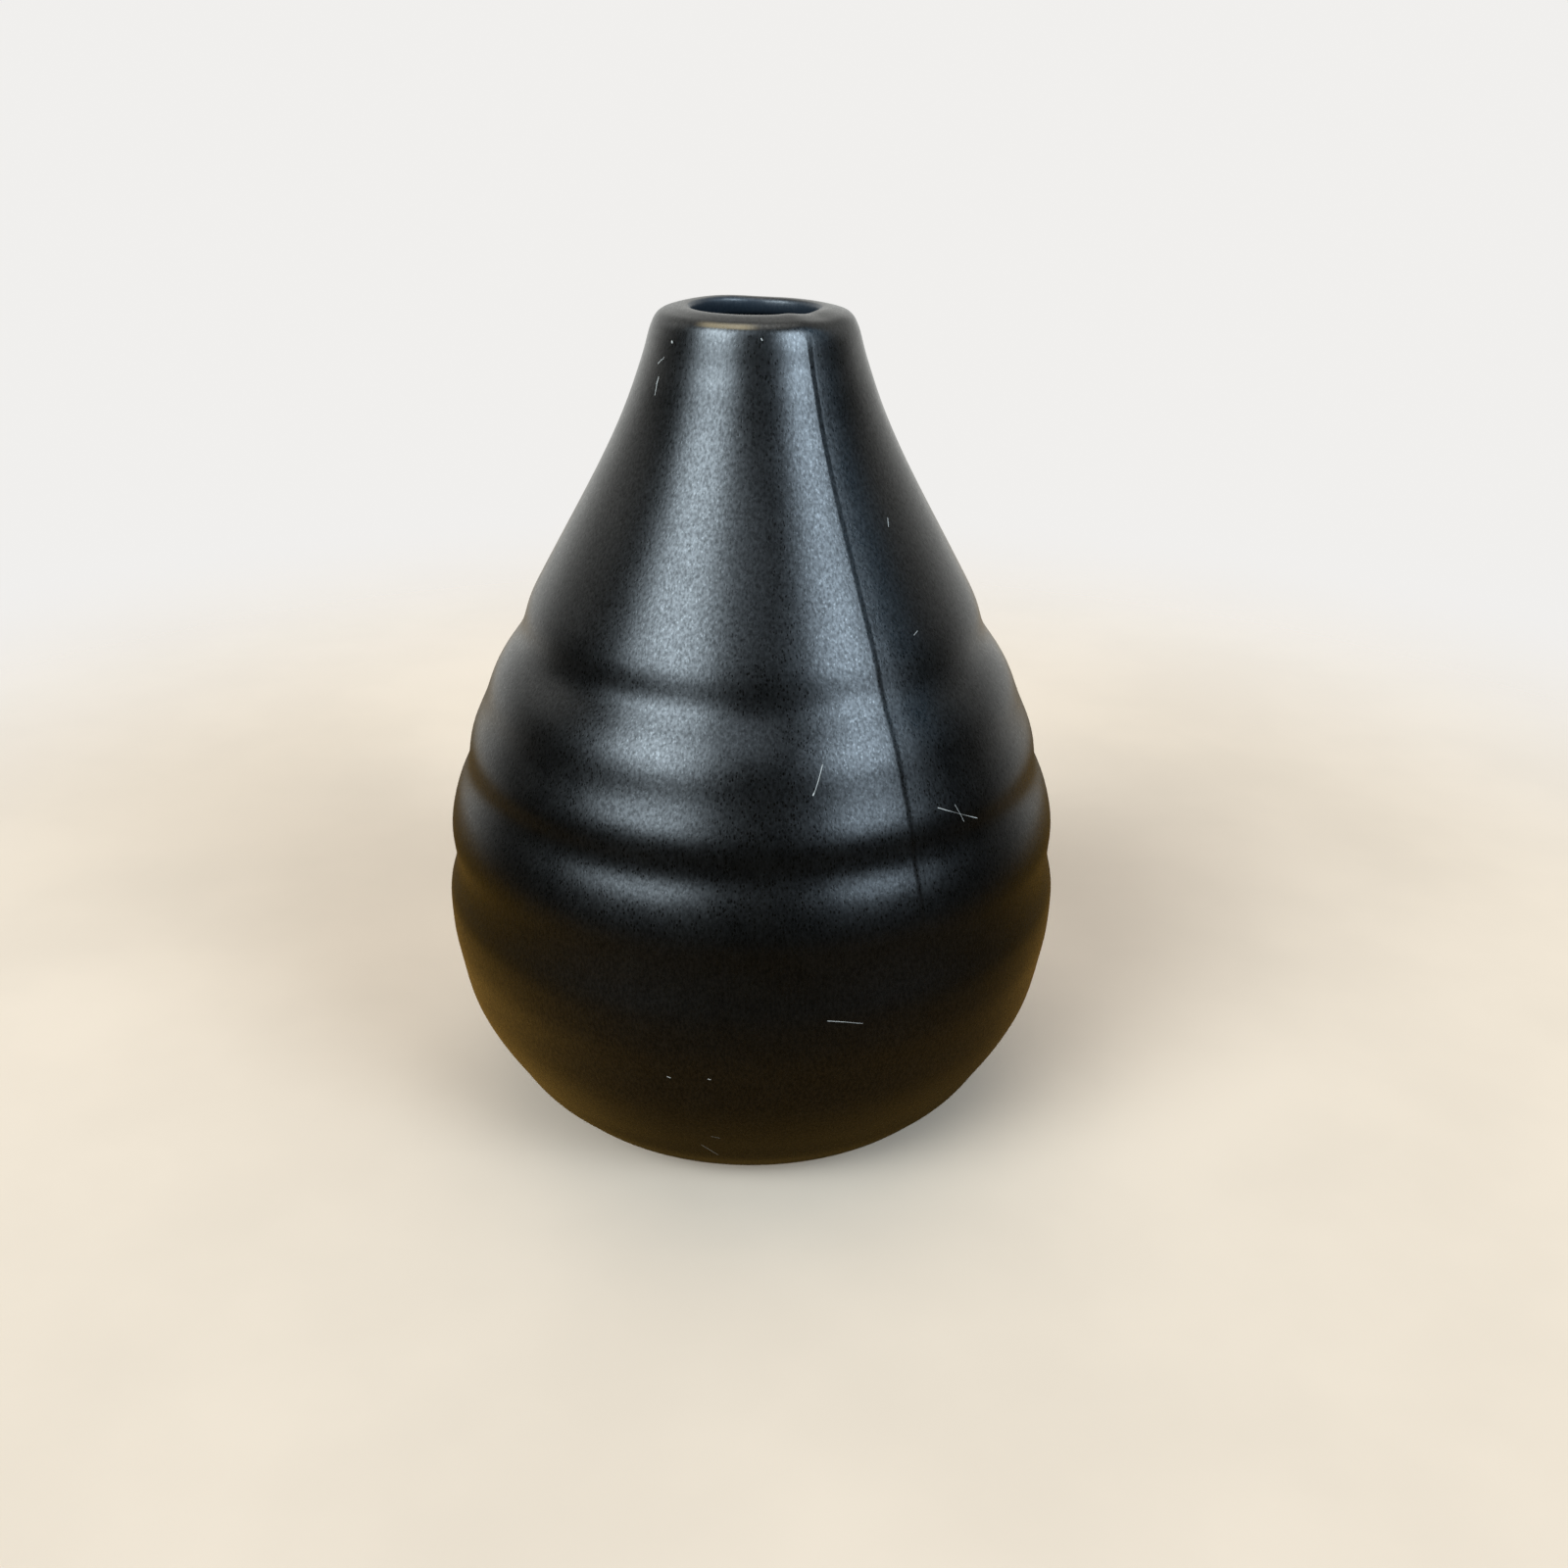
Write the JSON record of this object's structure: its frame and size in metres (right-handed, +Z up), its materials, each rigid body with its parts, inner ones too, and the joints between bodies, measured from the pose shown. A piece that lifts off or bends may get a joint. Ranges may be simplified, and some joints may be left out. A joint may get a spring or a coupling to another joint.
{
  "type": "bud vase",
  "caption": "Pear-shaped satin black stoneware bud vase with soft pressed rings, a narrow rounded mouth and a dry foot ring.",
  "frame": {"origin": "centre of the foot ring, on the table", "axes": "+Z up along the turning axis, -Y towards the viewer of the front"},
  "size_m": [0.1158, 0.1158, 0.15],
  "materials": {
    "stoneware": "bare fired clay, matte, dry foot ring",
    "satin_black_glaze": "satin black glaze with a fine speckle",
    "black_liner_glaze": "black liner glaze, slightly glossier"
  },
  "bodies": {
    "root": {"stoneware_body": "stoneware", "outer_glaze": "satin_black_glaze", "liner_glaze": "black_liner_glaze"}
  },
  "joints": []
}
